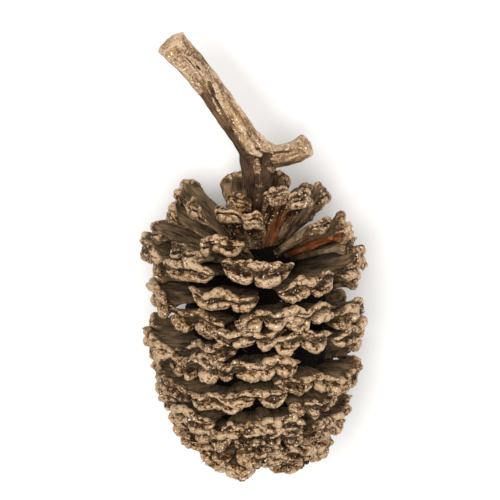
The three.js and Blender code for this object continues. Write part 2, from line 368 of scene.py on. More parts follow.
@dataclass
class Graph:
    """A thin layer over a node tree that adds nodes and joins them."""

    tree: Tree

    def fill(self, node: Node, inputs: dict[str | int, object]) -> Node:
        """Links a node's inputs to sockets, or sets constants on them.

        Args:
            node: the node.
            inputs: sockets or constants by the input's name or number.

        Returns:
            The node.
        """
        for key, value in inputs.items():
            if isinstance(value, Socket):
                self.tree.links.new(value, node.inputs[key])
            else:
                node.inputs[key].default_value = value
        return node

    def node(self, kind: str, inputs: dict[str | int, object], **settings: object) -> Node:
        """Adds a node.

        Args:
            kind: its type.
            inputs: what fills its inputs.
            settings: its properties.

        Returns:
            The node.
        """
        made = self.tree.nodes.new(kind)
        for key, value in settings.items():
            setattr(made, key, value)
        return self.fill(made, inputs)

    def math(self, operation: str, *inputs: object) -> Socket:
        """Adds a Math node, its inputs sockets or numbers, and gives its output."""
        return self.node("ShaderNodeMath", dict(enumerate(inputs)), operation=operation).outputs[0]

    def total(self, *terms: tuple[object, object]) -> Socket:
        """The sum of some values, each times its weight.

        Args:
            terms: values and weights, sockets or numbers.

        Returns:
            The sum's socket.
        """
        first, *others = [self.math("MULTIPLY", value, weight) for value, weight in terms]
        for other in others:
            first = self.math("ADD", first, other)
        return first

    def ramp(self, value: object, low: float, high: float, out: Pair = (0.0, 1.0)) -> Socket:
        """A smooth step of a value between two levels.

        Args:
            value: what is mapped.
            low: the level that gives the first result.
            high: the level that gives the second.
            out: the two results.

        Returns:
            The result's socket.
        """
        span = {"From Min": low, "From Max": high, "To Min": out[0], "To Max": out[1]}
        made = self.node("ShaderNodeMapRange", {"Value": value, **span}, interpolation_type="SMOOTHSTEP")
        return made.outputs["Result"]

    def mix(self, share: object, first: object, second: object) -> Socket:
        """Mixes two colours by a share of the second."""
        colours = {"Factor": share, 6: first, 7: second}
        return self.node("ShaderNodeMix", colours, data_type="RGBA").outputs[2]

    def noise(self, vector: object, scale: float, octaves: float = 2.0, roughness: float = 0.55) -> Socket:
        """A noise value from about 0.3 to 0.7, with so many features a unit of the vector."""
        inputs = {"Vector": vector, "Scale": scale, "Detail": octaves, "Roughness": roughness}
        return self.node("ShaderNodeTexNoise", inputs).outputs[0]

    def about(self, noise: Socket) -> Socket:
        """A noise value taken about its middle."""
        return self.math("SUBTRACT", noise, 0.5)

    def stretch(self, vector: object, scale: Point) -> Socket:
        """Scales a vector through a Mapping node."""
        return self.node("ShaderNodeMapping", {"Vector": vector, "Scale": scale}).outputs["Vector"]

    def read(self, name: str, output: str = "Fac") -> Socket:
        """Reads one of the mesh's own point values, or a vector with Vector as the output."""
        return self.node("ShaderNodeAttribute", {}, attribute_name=name).outputs[output]


def new_group(name: str, inputs: dict[str, str], outputs: dict[str, str]) -> tuple[Graph, dict[str, Socket]]:
    """Starts a shader node group.

    Args:
        name: the group's name.
        inputs: socket types by name.
        outputs: socket types by name.

    Returns:
        The group's graph and the sockets that it is given, by name.
    """
    tree = bpy.data.node_groups.new(name, "ShaderNodeTree")
    for way, sockets in (("INPUT", inputs), ("OUTPUT", outputs)):
        for key, kind in sockets.items():
            tree.interface.new_socket(name=key, in_out=way, socket_type=kind)
    graph = Graph(tree)
    return graph, dict(graph.node("NodeGroupInput", {}).outputs.items())


def fibre_group() -> Tree:
    """Woody fibres: noise drawn out along y, in two widths, between two colours.

    Returns:
        The group, with Color and Height.
    """
    graph, given = new_group(
        "Wood fibres",
        {"Vector": VECTOR, "Dark": COLOUR, "Light": COLOUR, "Blotch": FLOAT},
        {"Color": COLOUR, "Height": FLOAT},
    )
    # Features a millimetre: across the fibres and along them
    fine = graph.noise(graph.stretch(given["Vector"], (11.0, 0.9, 1.0)), 1.0, 3.0, 0.6)
    wide = graph.noise(graph.stretch(given["Vector"], (3.2, 0.5, 1.0)), 1.0)
    lines = graph.ramp(fine, 0.36, 0.66)
    bands = graph.ramp(wide, 0.35, 0.68)
    blotch = graph.ramp(graph.noise(given["Vector"], 0.8, 3.0), 0.3, 0.7, (-0.5, 0.5))
    share = graph.math("ADD", graph.total((lines, 0.55), (bands, 0.35), (blotch, given["Blotch"])), 0.1)
    limited = graph.node("ShaderNodeClamp", {"Value": share}).outputs[0]
    mixed = graph.mix(limited, given["Dark"], given["Light"])
    graph.node("NodeGroupOutput", {"Color": mixed, "Height": graph.math("ADD", lines, bands)})
    return graph.tree


def dust_group() -> Tree:
    """Sprayed gold dust: a grainy coat whose cover breaks up in patches.

    The cover is a smooth step of the wanted amount plus noise. Its tone runs from dull
    over tan to bright with the relief that it lies on, lighter on crests where the gold
    catches and darker in crevices as painted shade, plus noise in patches and grains,
    with sparse painted glints.

    Returns:
        The group, with Color, Mask and Height.
    """
    colours = {key: COLOUR for key in ("Base", "Dull", "Tan", "Warm", "Bright", "Painted_glint")}
    graph, given = new_group(
        "Gold dust",
        {"Vector": VECTOR, **colours, "Amount": FLOAT, "Crest": FLOAT},
        {"Color": COLOUR, "Mask": FLOAT, "Height": FLOAT},
    )
    # Features a metre: the cover's patches, the tone's tints and grains, warm zones, painted glints
    patches = graph.noise(given["Vector"], 1500.0, 4.0, 0.6)
    tints = graph.noise(given["Vector"], 800.0, 3.0)
    specks = graph.noise(given["Vector"], 7400.0, 2.0, 0.6)
    warmth = graph.ramp(graph.noise(given["Vector"], 330.0), 0.42, 0.64)
    painted_glints = graph.ramp(graph.noise(given["Vector"], 5200.0, 1.0), 0.66, 0.74)
    grains = graph.about(specks)
    uneven = graph.total((graph.about(patches), 1.5), (grains, 0.8))
    mask = graph.ramp(graph.math("ADD", given["Amount"], uneven), 0.2, 0.62)
    # Relief tone: lighter on crests where the gold catches, darker in crevices as painted shade
    tone = graph.math("ADD", graph.math("MULTIPLY", given["Crest"], 0.65), 0.3)
    tone = graph.math("ADD", tone, graph.total((graph.about(tints), 2.2), (grains, 2.8)))
    middle = graph.mix(warmth, given["Tan"], given["Warm"])
    gold = graph.mix(graph.ramp(tone, -0.1, 0.5), given["Dull"], middle)
    gold = graph.mix(graph.ramp(tone, 0.5, 1.1), gold, given["Bright"])
    # Painted glints: sparse near-white specks mixed into the colour
    gold = graph.mix(painted_glints, gold, given["Painted_glint"])
    results = {
        "Color": graph.mix(mask, given["Base"], gold),
        "Mask": mask,
        "Height": graph.math("ADD", specks, graph.math("MULTIPLY", patches, 1.5)),
    }
    graph.node("NodeGroupOutput", results)
    return graph.tree


@dataclass(frozen=True)
class GoldDust:
    """The sprayed gold that catches on the rims and on the bark."""

    dull: Colour = shade(51, 33, 20)
    tan: Colour = shade(117, 89, 63)
    warm: Colour = shade(134, 98, 58)
    bright: Colour = shade(194, 163, 129)
    # Near white for the painted glints
    painted_glint: Colour = shade(248, 234, 212)

    def coat(self, graph: Graph, group: Tree, base: Socket) -> Node:
        """Lays the dust over a colour.

        Args:
            graph: the material's graph.
            group: the gold dust group.
            base: the colour under the dust.

        Returns:
            The group's node, fed with the mesh's dust values and its crest values, which also carry painted
            shade in the crevices.
        """
        inputs = {key.capitalize(): colour for key, colour in asdict(self).items()}
        inputs["Vector"] = graph.node("ShaderNodeTexCoord", {}).outputs["Object"]
        inputs.update(Base=base, Crest=graph.read("crest_and_shade"), Amount=graph.read("dust"))
        return graph.node("ShaderNodeGroup", inputs, node_tree=group)


@dataclass(frozen=True)
class WoodFinish:
    """Fibrous wood under gold dust; rough holds the roughness of bare and of dusted wood."""

    fibres: Tree
    dust: Tree
    gold: GoldDust
    dark: Colour
    light: Colour
    blotch: float
    fibre_height: float
    dust_height: float
    bump_strength: float
    rough: Pair
    bump_mm: float = 0.06
    dust_metal: float = 0.3
    gloss: float = 0.1

    def wood(self, graph: Graph, dark: Colour, light: Colour, blotch: float) -> Node:
        """Lays fibres between two colours along the mesh's own grain."""
        inputs = {"Vector": graph.read("grain", "Vector"), "Dark": dark, "Light": light, "Blotch": blotch}
        return graph.node("ShaderNodeGroup", inputs, node_tree=self.fibres)

    def under(self, graph: Graph, wood: Socket) -> Socket:
        """The colour under the dust: the plain wood."""
        return wood

    def material(self, name: str) -> bpy.types.Material:
        """Builds the material.

        Args:
            name: the material's name.

        Returns:
            A material that reads the pieces' own point values.
        """
        made = bpy.data.materials.new(name)
        made.use_nodes = True
        graph = Graph(made.node_tree)
        wood = self.wood(graph, self.dark, self.light, self.blotch)
        coat = self.gold.coat(graph, self.dust, self.under(graph, wood.outputs["Color"]))
        fibres = wood.outputs["Height"], self.fibre_height
        height = graph.total(fibres, (coat.outputs["Height"], self.dust_height))
        relief = {"Strength": self.bump_strength, "Distance": self.bump_mm * MM, "Height": height}
        looks = {
            "Base Color": coat.outputs["Color"],
            "Metallic": graph.math("MULTIPLY", coat.outputs["Mask"], self.dust_metal),
            "Specular IOR Level": self.gloss,
            "Roughness": graph.ramp(coat.outputs["Mask"], 0.0, 1.0, self.rough),
            "Normal": graph.node("ShaderNodeBump", relief).outputs["Normal"],
        }
        graph.fill(made.node_tree.nodes["Principled BSDF"], looks)
        return made


@dataclass(frozen=True)
class ScaleFinish(WoodFinish):
    """Dark dry cone wood with fine fibres, bare orange strips and gold-dusted rims."""

    gold: GoldDust = GoldDust()
    dark: Colour = shade(52, 39, 27)
    light: Colour = shade(144, 119, 89)
    blotch: float = 0.7
    fibre_height: float = 0.35
    dust_height: float = 0.9
    bump_strength: float = 1.0
    rough: Pair = (0.9, 0.42)
    # Near black for the painted shade among the scales, in their grooves and over the core
    deep: Colour = shade(8, 4, 2)
    bare_dark: Colour = shade(52, 24, 10)
    bare_light: Colour = shade(150, 84, 42)
    bare_blotch: float = 0.3

    def under(self, graph: Graph, wood: Socket) -> Socket:
        """The colour under the dust: wood, orange where it is bare, and near black painted shade deep among
        the scales, in their grooves and over the core.

        Args:
            graph: the material's graph.
            wood: the plain wood's colour.

        Returns:
            The colour's socket.
        """
        bare = self.wood(graph, self.bare_dark, self.bare_light, self.bare_blotch)
        streaks = graph.noise(graph.stretch(graph.read("grain", "Vector"), (2.6, 0.25, 1.0)), 1.0)
        strip = graph.math("ADD", graph.read("bare"), graph.ramp(streaks, 0.3, 0.7, (-0.55, 0.25)))
        base = graph.mix(graph.ramp(strip, 0.1, 0.75), wood, bare.outputs["Color"])
        # Painted shade: near black mixed in deep among the scales, in their grooves and over the core
        return graph.mix(graph.read("painted_shade"), base, self.deep)


@dataclass(frozen=True)
class BarkFinish(WoodFinish):
    """Ridged bark under gold dust, with bare brown wood where it has peeled."""

    gold: GoldDust = GoldDust(
        dull=shade(120, 90, 64),
        tan=shade(170, 140, 110),
        warm=shade(172, 136, 92),
        bright=shade(204, 176, 146),
    )
    dark: Colour = shade(44, 30, 20)
    light: Colour = shade(118, 90, 64)
    blotch: float = 0.6
    fibre_height: float = 0.6
    dust_height: float = 0.7
    bump_strength: float = 0.7
    rough: Pair = (0.8, 0.45)


# The cone

# Control points of a scale's section: those in its groove, and those on its pads
GROOVE_ROWS = slice(7, 9)
PAD_ROWS = slice(9, 13)
AWAY_FROM_AXIS = np.array([1.0, 0.0, 1.0])


@dataclass(frozen=True)
class ScalePlace:
    """Where one scale grows, and its size."""

    index: int
    azimuth: float
    level: float
    width: float
    reach: float

    def past(self, low: float, high: float) -> float:
        """How far its level is from low to high, as a smooth step from 0 to 1."""
        return float(smooth_step(low, high, np.array(self.level)))


def along(table: Rows, level: float) -> float:
    """Straight-line interpolation in rows of (level, value) that go down in level."""
    levels, values = zip(*reversed(table))
    return float(np.interp(level, levels, values))


@dataclass(frozen=True)
class ConeForm:
    """The cone's outline and the rule that places its scales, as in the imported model."""

    # Rows of (level, value): how far the rims reach, where the roots are, how wide rims are.
    reach: Rows = (
        (5.9, 2.0), (4.6, 3.7), (3.3, 5.4), (2.1, 6.7), (1.2, 7.2), (-2.5, 7.4), (-6.0, 7.45),
        (-9.0, 7.15), (-11.0, 6.5), (-12.8, 5.6), (-14.2, 4.5), (-15.1, 3.5), (-15.6, 2.0),
    )
    root_level: Rows = (
        (5.9, 0.4), (3.6, -0.2), (1.3, -0.6), (-1.0, -2.1), (-6.0, -6.3), (-10.0, -9.7),
        (-13.0, -12.2), (-14.5, -13.3), (-15.6, -13.9),
    )
    rim_width: Rows = (
        (5.9, 2.4), (3.0, 3.0), (1.6, 3.8), (0.5, 4.4), (-8.0, 4.4), (-11.0, 3.6),
        (-13.5, 3.0), (-15.6, 2.4),
    )
    golden_angle: float = 137.508
    spiral_start: float = 200.0
    spiral_top: float = 5.6
    spiral_step: float = 0.237
    spiral_scales: int = 89
    clear_along: float = 1.9
    clear_share: float = 1.0
    spin_jitter: float = 8.0
    level_jitter: float = 0.25
    # The scales that face up: (azimuth in degrees, level, width, reach added).
    upper: Rows = (
        (31, 5.3, 1.9, 0), (-34, 4.2, 2.3, -0.5), (-4, 3.9, 1.6, -1.2), (59, 4.7, 2.3, 0.3),
        (57, 3.2, 2.4, 0.1), (70, 2.1, 2.2, 0.2), (-27, 2.4, 3.3, -0.2), (-53, 1.9, 3.4, -0.2),
        (-70, 3.9, 2.8, 0.3), (-88, 2.2, 3.4, 0.5), (-118, 4.3, 3.4, 1.5), (-148, 4.9, 2.3, -0.2),
        (146, 5.2, 2.0, -0.2), (108, 4.3, 2.6, 0.6), (-31, 4.9, 1.9, -0.8), (79, 1.5, 2.0, -0.5),
        (95, 2.4, 2.8, -0.3), (-95, 3.0, 2.8, 0.3), (0, 1.35, 4.9, 0), (-46, 0.9, 4.6, 0),
        (31, 0.1, 4.5, 0), (-84, 0.7, 3.6, 0.7), (72, 0.2, 4.4, 0.3), (-20, -0.8, 5.0, 0),
        (9, -1.9, 5.0, 0), (-76, -1.9, 4.4, 0), (32, -2.7, 4.2, 0), (63, -2.7, 4.6, 0),
        (-39, -3.0, 4.6, 0), (-6, -3.5, 5.2, 0), (27, -4.2, 4.6, 0), (68, -5.0, 4.6, 0.2),
        (-28, -4.9, 4.0, 0), (-68, -4.9, 4.4, 0.6), (-11, -5.8, 3.6, 0), (11, -5.8, 3.2, 0),
        (-41, -6.6, 4.8, 0), (30, -6.8, 4.7, 0), (62, -7.9, 4.4, 0.1), (-60, -8.1, 4.2, 0),
        (-1, -7.8, 4.6, 0), (-26, -8.6, 4.4, 0), (39, -8.6, 4.2, 0), (-48, -9.9, 4.0, 0),
        (16, -9.9, 3.6, 0), (-8, -10.3, 3.4, 0), (44, -10.9, 3.4, 0), (-34, -11.3, 3.4, 0),
        (0, -11.7, 3.4, 0), (20, -11.3, 3.2, 0), (-56, -12.1, 2.8, 0), (52, -12.3, 2.8, 0),
        (3, -12.9, 3.4, 0), (36, -13.0, 3.2, 0), (-38, -13.0, 2.8, 0), (27, -14.0, 2.4, 0),
        (-19, -14.1, 2.6, 0), (-48, -14.2, 2.2, 0), (50, -14.4, 2.0, 0),
    )
    # The scales on the two sides, between those above and the spiral, in the same terms.
    sides: Rows = (
        (97, -1.4, 3.8, -0.1), (90, -4.3, 4.2, -0.1), (100, -6.3, 4.2, -0.1), (91, -8.6, 4.0, -0.1),
        (75, -11.0, 3.2, 0), (74, -13.2, 2.8, 0), (-105, -1.2, 3.6, -0.1), (-94, -5.6, 3.8, -0.1),
        (-86, -8.0, 3.2, -0.1), (-78, -12.0, 2.8, 0),
    )
    # Strips of bare orange wood.
    bare_strips: Rows = (
        (0.95, 0.97, 1.46, 1.8, 4.3, 3.03, 0.9),
        (2.5, 0.4, 1.4, 6.3, 2.5, 3.3, 0.62),
        (2.2, 1.2, 1.2, 5.4, 2.9, 2.7, 0.5),
        (-1.9, -12.7, 4.9, -0.4, -12.6, 5.1, 0.9),
    )

    def plan(self) -> list[ScalePlace]:
        """Every scale: those that face up, the spiral where it is still clear, the sides.

        Returns:
            The places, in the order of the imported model.
        """
        by_hand = self.by_hand(self.upper, 0)
        placed = list(by_hand)
        for i in range(self.spiral_scales):
            index = len(by_hand) + i
            turn = self.spiral_start + self.golden_angle * i
            azimuth = turn + self.spin_jitter * swing(index, Draw.AZIMUTH)
            level = self.spiral_top - self.spiral_step * i + self.level_jitter * swing(index, Draw.LEVEL)
            width, reach = along(self.rim_width, level), along(self.reach, level)
            place = ScalePlace(index, azimuth, level, width, reach)
            if all(self.is_clear(place, other) for other in by_hand):
                placed.append(place)
        return placed + self.by_hand(self.sides, len(by_hand) + self.spiral_scales)

    def by_hand(self, rows: Rows, first: int) -> list[ScalePlace]:
        """The places of some scales given in a list.

        Args:
            rows: azimuth, level, width and reach added, for each.
            first: the first one's index.

        Returns:
            Their places.
        """
        return [
            ScalePlace(first + i, azimuth, level, width, along(self.reach, level) + added)
            for i, (azimuth, level, width, added) in enumerate(rows)
        ]

    def is_clear(self, place: ScalePlace, other: ScalePlace) -> bool:
        """Whether two rims are far enough apart for both scales to grow.

        Args:
            place: the new scale.
            other: a scale that is there already.

        Returns:
            True if their distance, stretched along the axis, is over their mean width's share.
        """
        turn = math.radians(place.azimuth - other.azimuth)
        around = abs(math.atan2(math.sin(turn), math.cos(turn))) * place.reach
        apart = math.hypot(around, self.clear_along * (place.level - other.level))
        return apart > self.clear_share * (place.width + other.width) / 2


@dataclass
class Scale:
    """One woody scale: a wedge whose thick rim is a wavy ribbon over a row of knobs."""

    place: ScalePlace
    form: ConeForm
    columns: int = 52
    spans: tuple[int, ...] = (3, 5, 4, 4, 5, 4, 4, 4, 4, 5, 5, 4, 4, 5, 3)
    root_radius: float = 0.9
    root_half_width: float = 0.55
    blade_half: float = 0.26
    lip_height: float = 0.72
    knob_drop: float = 0.95
    sway: float = 0.1
    petal_levels: Pair = (1.3, 2.2)
    petal_thinning: float = 0.55
    chunky_levels: Pair = (4.0, 4.5)
    chunky_share: float = 0.8
    cup: float = 0.35
    pad_relief: float = 0.5
    pad_inset: float = 0.62
    groove_depth: float = 0.85
    edge_setback: float = 0.6
    corner_setback: float = 0.35
    edge_thinning: float = 0.55
    wave: float = 0.15
    full_relief_width: float = 3.4
    tilt_jitter: float = 4.0
    roll_jitter: float = 8.0
    lumps: Rough = Rough(0.9, 0.12, 11, 2)
    crumbs: Rough = Rough(2.1, 0.16, 17)
    crumbs_sunk: float = 0.08
    # These two have unit height here, and their heights on body scales and on petals below.
    fine_crumbs: Rough = Rough(4.6, 1.0, 19)
    fine_heights: Pair = (0.09, 0.04)
    creases: Rough = Rough(2.4, 1.0, 23, 3)
    crease_heights: Pair = (0.04, 0.13)
    dusty_levels: Pair = (1.4, 2.6)
    facing_dust: float = 0.32
    petal_dust: float = 0.65

    @property
    def petal(self) -> float:
        """1 for the long thin scales of the stem end, 0 for those of the body."""
        return self.place.past(*self.petal_levels)

    @property
    def size(self) -> float:
        """The share of the full relief that a scale of this width has."""
        return min(1.0, self.place.width / self.full_relief_width)

    def draw(self, channel: int, low: float = 0.0, high: float = 1.0) -> float:
        """A draw of this scale's own between two values."""
        return low + (high - low) * chance(self.place.index, channel)

    def ribbon(self, across: Array) -> Array:
        """The lip's own frill: two sines of unlike length, added up.

        Args:
            across: place across the rim, -1 to 1.

        Returns:
            Heights from about -1 to 1.
        """
        slow = self.draw(Draw.SLOW_FRILL, 1.6, 2.6) * math.pi * across + 6.28 * self.draw(Draw.SLOW_PHASE)
        fast = self.draw(Draw.FAST_FRILL, 4.0, 6.0) * math.pi * across + 6.28 * self.draw(Draw.FAST_PHASE)
        return 0.7 * np.sin(slow) + 0.3 * np.sin(fast)

    def pads(self, across: Array) -> Array:
        """Up to three pillows side by side under the lip: the highest of their half circles.

        Args:
            across: place across the rim, -1 to 1.

        Returns:
            Heights from 0 between the pillows to 1 on their crests.
        """
        count = min(max(round(self.place.width / self.draw(Draw.PADS, 1.5, 2.2)), 1), 3)
        shares = np.array([self.draw(Draw.PAD_SHARE + i, 0.6, 1.5) for i in range(count)])
        ends = np.concatenate([[0.0], np.cumsum(shares)]) / shares.sum() * 2.0 - 1.0
        height = np.zeros_like(across)
        for i in range(count):
            middle = (ends[i] + ends[i + 1]) / 2.0
            half = (ends[i + 1] - ends[i]) / 2.0 * self.draw(Draw.PAD_HALF + i, 0.88, 1.05)
            round_part = np.sqrt(np.clip(1.0 - ((across - middle) / half) ** 2, 0.0, None))
            height = np.maximum(height, round_part**0.8 * self.draw(Draw.PAD_HEIGHT + i, 0.6, 1.0))
        return height

    def profile(self, across: Array, length: float) -> list[Array]:
        """The section's control points, from the root's upper side round the rim and back.

        Args:
            across: place across the rim, -1 to 1.
            length: from root to rim.

        Returns:
            Distances from the root, heights off the blade and dust amounts, each an array
            of control points by columns.
        """
        petal, size = self.petal, self.size
        chunky = self.chunky_share * self.place.past(*self.chunky_levels)
        thin = 1.0 - self.petal_thinning * petal * self.draw(Draw.THINNING, 0.1, 1.0) * (1.0 - chunky)
        pad = self.pads(across)
        drop = self.knob_drop * size * pad * thin * self.draw(Draw.KNOBS, 0.7, 1.15)
        lip = self.lip_height * (1.0 - self.edge_thinning * across**2) * (0.55 + 0.45 * size)
        lip = lip * thin * self.draw(Draw.LIP, 0.55, 1.1)
        groove = self.groove_depth * self.draw(Draw.GROOVE, 0.55, 1.0) * (1.0 - 0.6 * petal)
        half = self.blade_half * (1.0 - 0.25 * petal)
        sway = self.sway * size * self.ribbon(across)
        front = length - (self.pad_inset - self.pad_relief * pad) * thin
        section = (
            (0.0, 1.3 * half, 0.0),
            (0.5 * length, half, 0.0),
            (length - 1.3 * thin, 0.9 * half, 0.05),
            (length - 0.75 * thin, 0.6 * lip + 0.5 * sway, 0.3),
            (length - 0.3 * thin + 0.3 * sway, 0.98 * lip + sway, 0.85),
            (length + 0.02 + 0.6 * sway, 0.7 * lip + sway, 1.0),
            (length - 0.05 + 0.4 * sway, 0.28 * lip + sway, 0.85),
            (length - 0.6 * groove * thin, 0.06 + 0.7 * sway, 0.0),
            (length - groove * thin * (1.0 - 0.4 * pad), -0.12 * thin + 0.4 * sway, 0.0),
            (front - 0.22 * thin, -0.17 * thin - 0.08 * drop, 0.8),
            (front + 0.04, -0.24 * thin - 0.38 * drop, 1.0),
            (front - 0.1, -0.28 * thin - 0.82 * drop, 1.0),
            (length - 0.85 + 0.15 * pad, -(half + 0.12 * pad) - 0.8 * drop, 0.5),
            (length - 1.35, -half, 0.05),
            (0.5 * length, -half, 0.0),
            (0.0, -1.3 * half, 0.0),
        )
        full = [np.array([np.broadcast_to(value, across.shape) for value in row]) for row in zip(*section)]
        full[2][PAD_ROWS] *= 0.25 + 0.75 * np.clip(pad * 1.6, 0.0, 1.0)
        return full

    def axes(self) -> tuple[Array, Array, Array, Array, float]:
        """The scale's own frame, turned to its azimuth, tilted to its level and rolled.

        Returns:
            Its root, its directions out, sideways and up, and its length.
        """
        place = self.place
        spin = math.radians(place.azimuth)
        root_level = along(self.form.root_level, place.level)
        rise, run = place.level - root_level, place.reach - self.root_radius
        tilt = math.atan2(rise, run) + math.radians(self.tilt_jitter * swing(place.index, Draw.TILT))
        roll = math.radians(self.roll_jitter * swing(place.index, Draw.ROLL))
        outward = Vector((math.sin(spin), 0.0, math.cos(spin)))
        stemward = Vector((0.0, 1.0, 0.0))
        root = outward * self.root_radius + stemward * root_level
        out = outward * math.cos(tilt) + stemward * math.sin(tilt)
        side = Matrix.Rotation(roll, 3, out) @ Vector((math.cos(spin), 0.0, -math.sin(spin)))
        up = out.cross(side)
        return *(np.array(axis) for axis in (root, out, side, up)), math.hypot(rise, run)

    def add_to(self, surface: Surface) -> None:
        """Adds the scale's shell: its section carried across the blade as a Catmull-Rom curve.

        The blade widens from root to rim, waves and cups, and its rim is set back at the
        sides. Noise adds lumps and crumbs on the rim and creases along the blade.

        Args:
            surface: takes the points, faces and values.
        """
        index, reach, petal, size = self.place.index, self.place.reach, self.petal, self.size
        root, out, side, up, length = self.axes()
        across = np.linspace(-1.0, 1.0, self.columns)
        weights = curve_weights(self.spans)
        distance, height, dust = (weights @ rows for rows in self.profile(across, length))
        share = np.clip(distance / length, 0.0, None)
        half_width = self.root_half_width + (self.place.width / 2 - self.root_half_width) * share
        edge = np.sqrt(1.0 - (0.97 * np.abs(across)) ** 6)
        phase = 2.0 * math.pi * self.draw(Draw.WAVE_PHASE)
        turns = self.draw(Draw.WAVES, 1.3, 2.0) * math.pi * across
        wave = self.wave * size * share**3 * np.sin(turns + phase)
        setback = self.edge_setback * size * share**2 * across**2
        setback = setback + self.corner_setback * size * share**4 * np.abs(across) ** 7
        cup = self.cup * size * share**2 * across**2 * swing(index, Draw.CUP)
        points = (
            root
            + (distance - setback)[..., None] * out
            + (half_width * across)[..., None] * side
            + (height * edge + wave + cup)[..., None] * up
        )
        rim = smooth_step(0.1, 0.7, dust)
        fine = np.interp(petal, (0.0, 1.0), self.fine_heights)
        crumbs = np.abs(self.crumbs.at(points, index)) - self.crumbs_sunk
        crumbs = crumbs + np.abs(self.fine_crumbs.at(points, index)) * fine
        folds = np.stack([half_width * across, 0.25 * distance, 0.0 * share + index], axis=-1)
        creases = self.creases.at(folds) * np.interp(petal, (0.0, 1.0), self.crease_heights)
        creases = creases * smooth_step(0.2, 0.6, share)
        relief = (self.lumps.at(points, index) + crumbs) * (0.1 + 0.9 * rim) + creases * (1.0 - 0.8 * rim)
        points = points + grid_normals(points) * relief[..., None]
        normals = grid_normals(points)
        # Crest values: lighter on crests where the gold catches, darker in crevices as painted shade, lifted
        # or lowered at random for each scale
        crest_and_shade = grid_crest(points, normals, 2, 0.035) + grid_crest(points, normals, 5, 0.13)
        crest_and_shade = crest_and_shade + self.draw(Draw.CREST, -0.6, 0.35)

        radius = np.hypot(points[..., 0], points[..., 2])
        radial = points * AWAY_FROM_AXIS / np.maximum(radius, 1e-6)[..., None]
        facing = np.clip((normals * radial).sum(-1), 0.0, 1.0)
        dusty = self.place.past(*self.dusty_levels)
        dust = dust * (0.6 + 0.4 * facing) * self.draw(Draw.DUST, 0.75, 1.1)
        dust = dust + self.facing_dust * facing * smooth_step(0.45, 0.95, radius / reach)
        dust = dust + dusty * self.petal_dust * facing
        near = near_strips(points, self.form.bare_strips)
        # Painted shade: darker towards the axis, where the scales shade each other, less so on the stem-end
        # scales, and darker in each scale's groove
        painted_shade = 1.0 - smooth_step(0.35 - 0.15 * dusty, 0.9 - 0.35 * dusty, radius / reach)
        groove_shade = weights[:, GROOVE_ROWS].sum(axis=1, keepdims=True) * (1.0 - 0.5 * petal)
        values = {
            "dust": dust * (1.0 - 0.6 * near),
            "bare": near * (1.0 - 0.5 * rim),
            "painted_shade": 0.9 * np.maximum(painted_shade, 0.85 * np.clip(groove_shade, 0.0, 1.0)),
            "crest_and_shade": 0.6 * crest_and_shade,
            "grain": np.stack([half_width * across, distance, 0.0 * share + 7.0 * index], axis=-1),
        }
        surface.add(points, self.faces(len(points)), values, [])

    def faces(self, rows: int) -> Array:
        """Faces of the shell: the grid, closed on itself at the root and zipped at both sides.

        Args:
            rows: points round the section.

        Returns:
            Quads that face outwards.
        """
        number = np.arange(rows * self.columns).reshape(rows, self.columns)
        below = np.roll(number, -1, axis=0)
        grid = np.stack([number[:, :-1], below[:, :-1], below[:, 1:], number[:, 1:]], axis=-1)
        last = rows // 2 - 1
        upper, upper_next = number[:last], number[1 : last + 1]
        lower, lower_next = number[::-1][:last], number[::-1][1 : last + 1]
        left = np.stack([face[:, 0] for face in (upper, lower, lower_next, upper_next)], axis=-1)
        right = np.stack([face[:, -1] for face in (upper, upper_next, lower_next, lower)], axis=-1)
        return np.concatenate([grid.reshape(-1, 4), left, right])


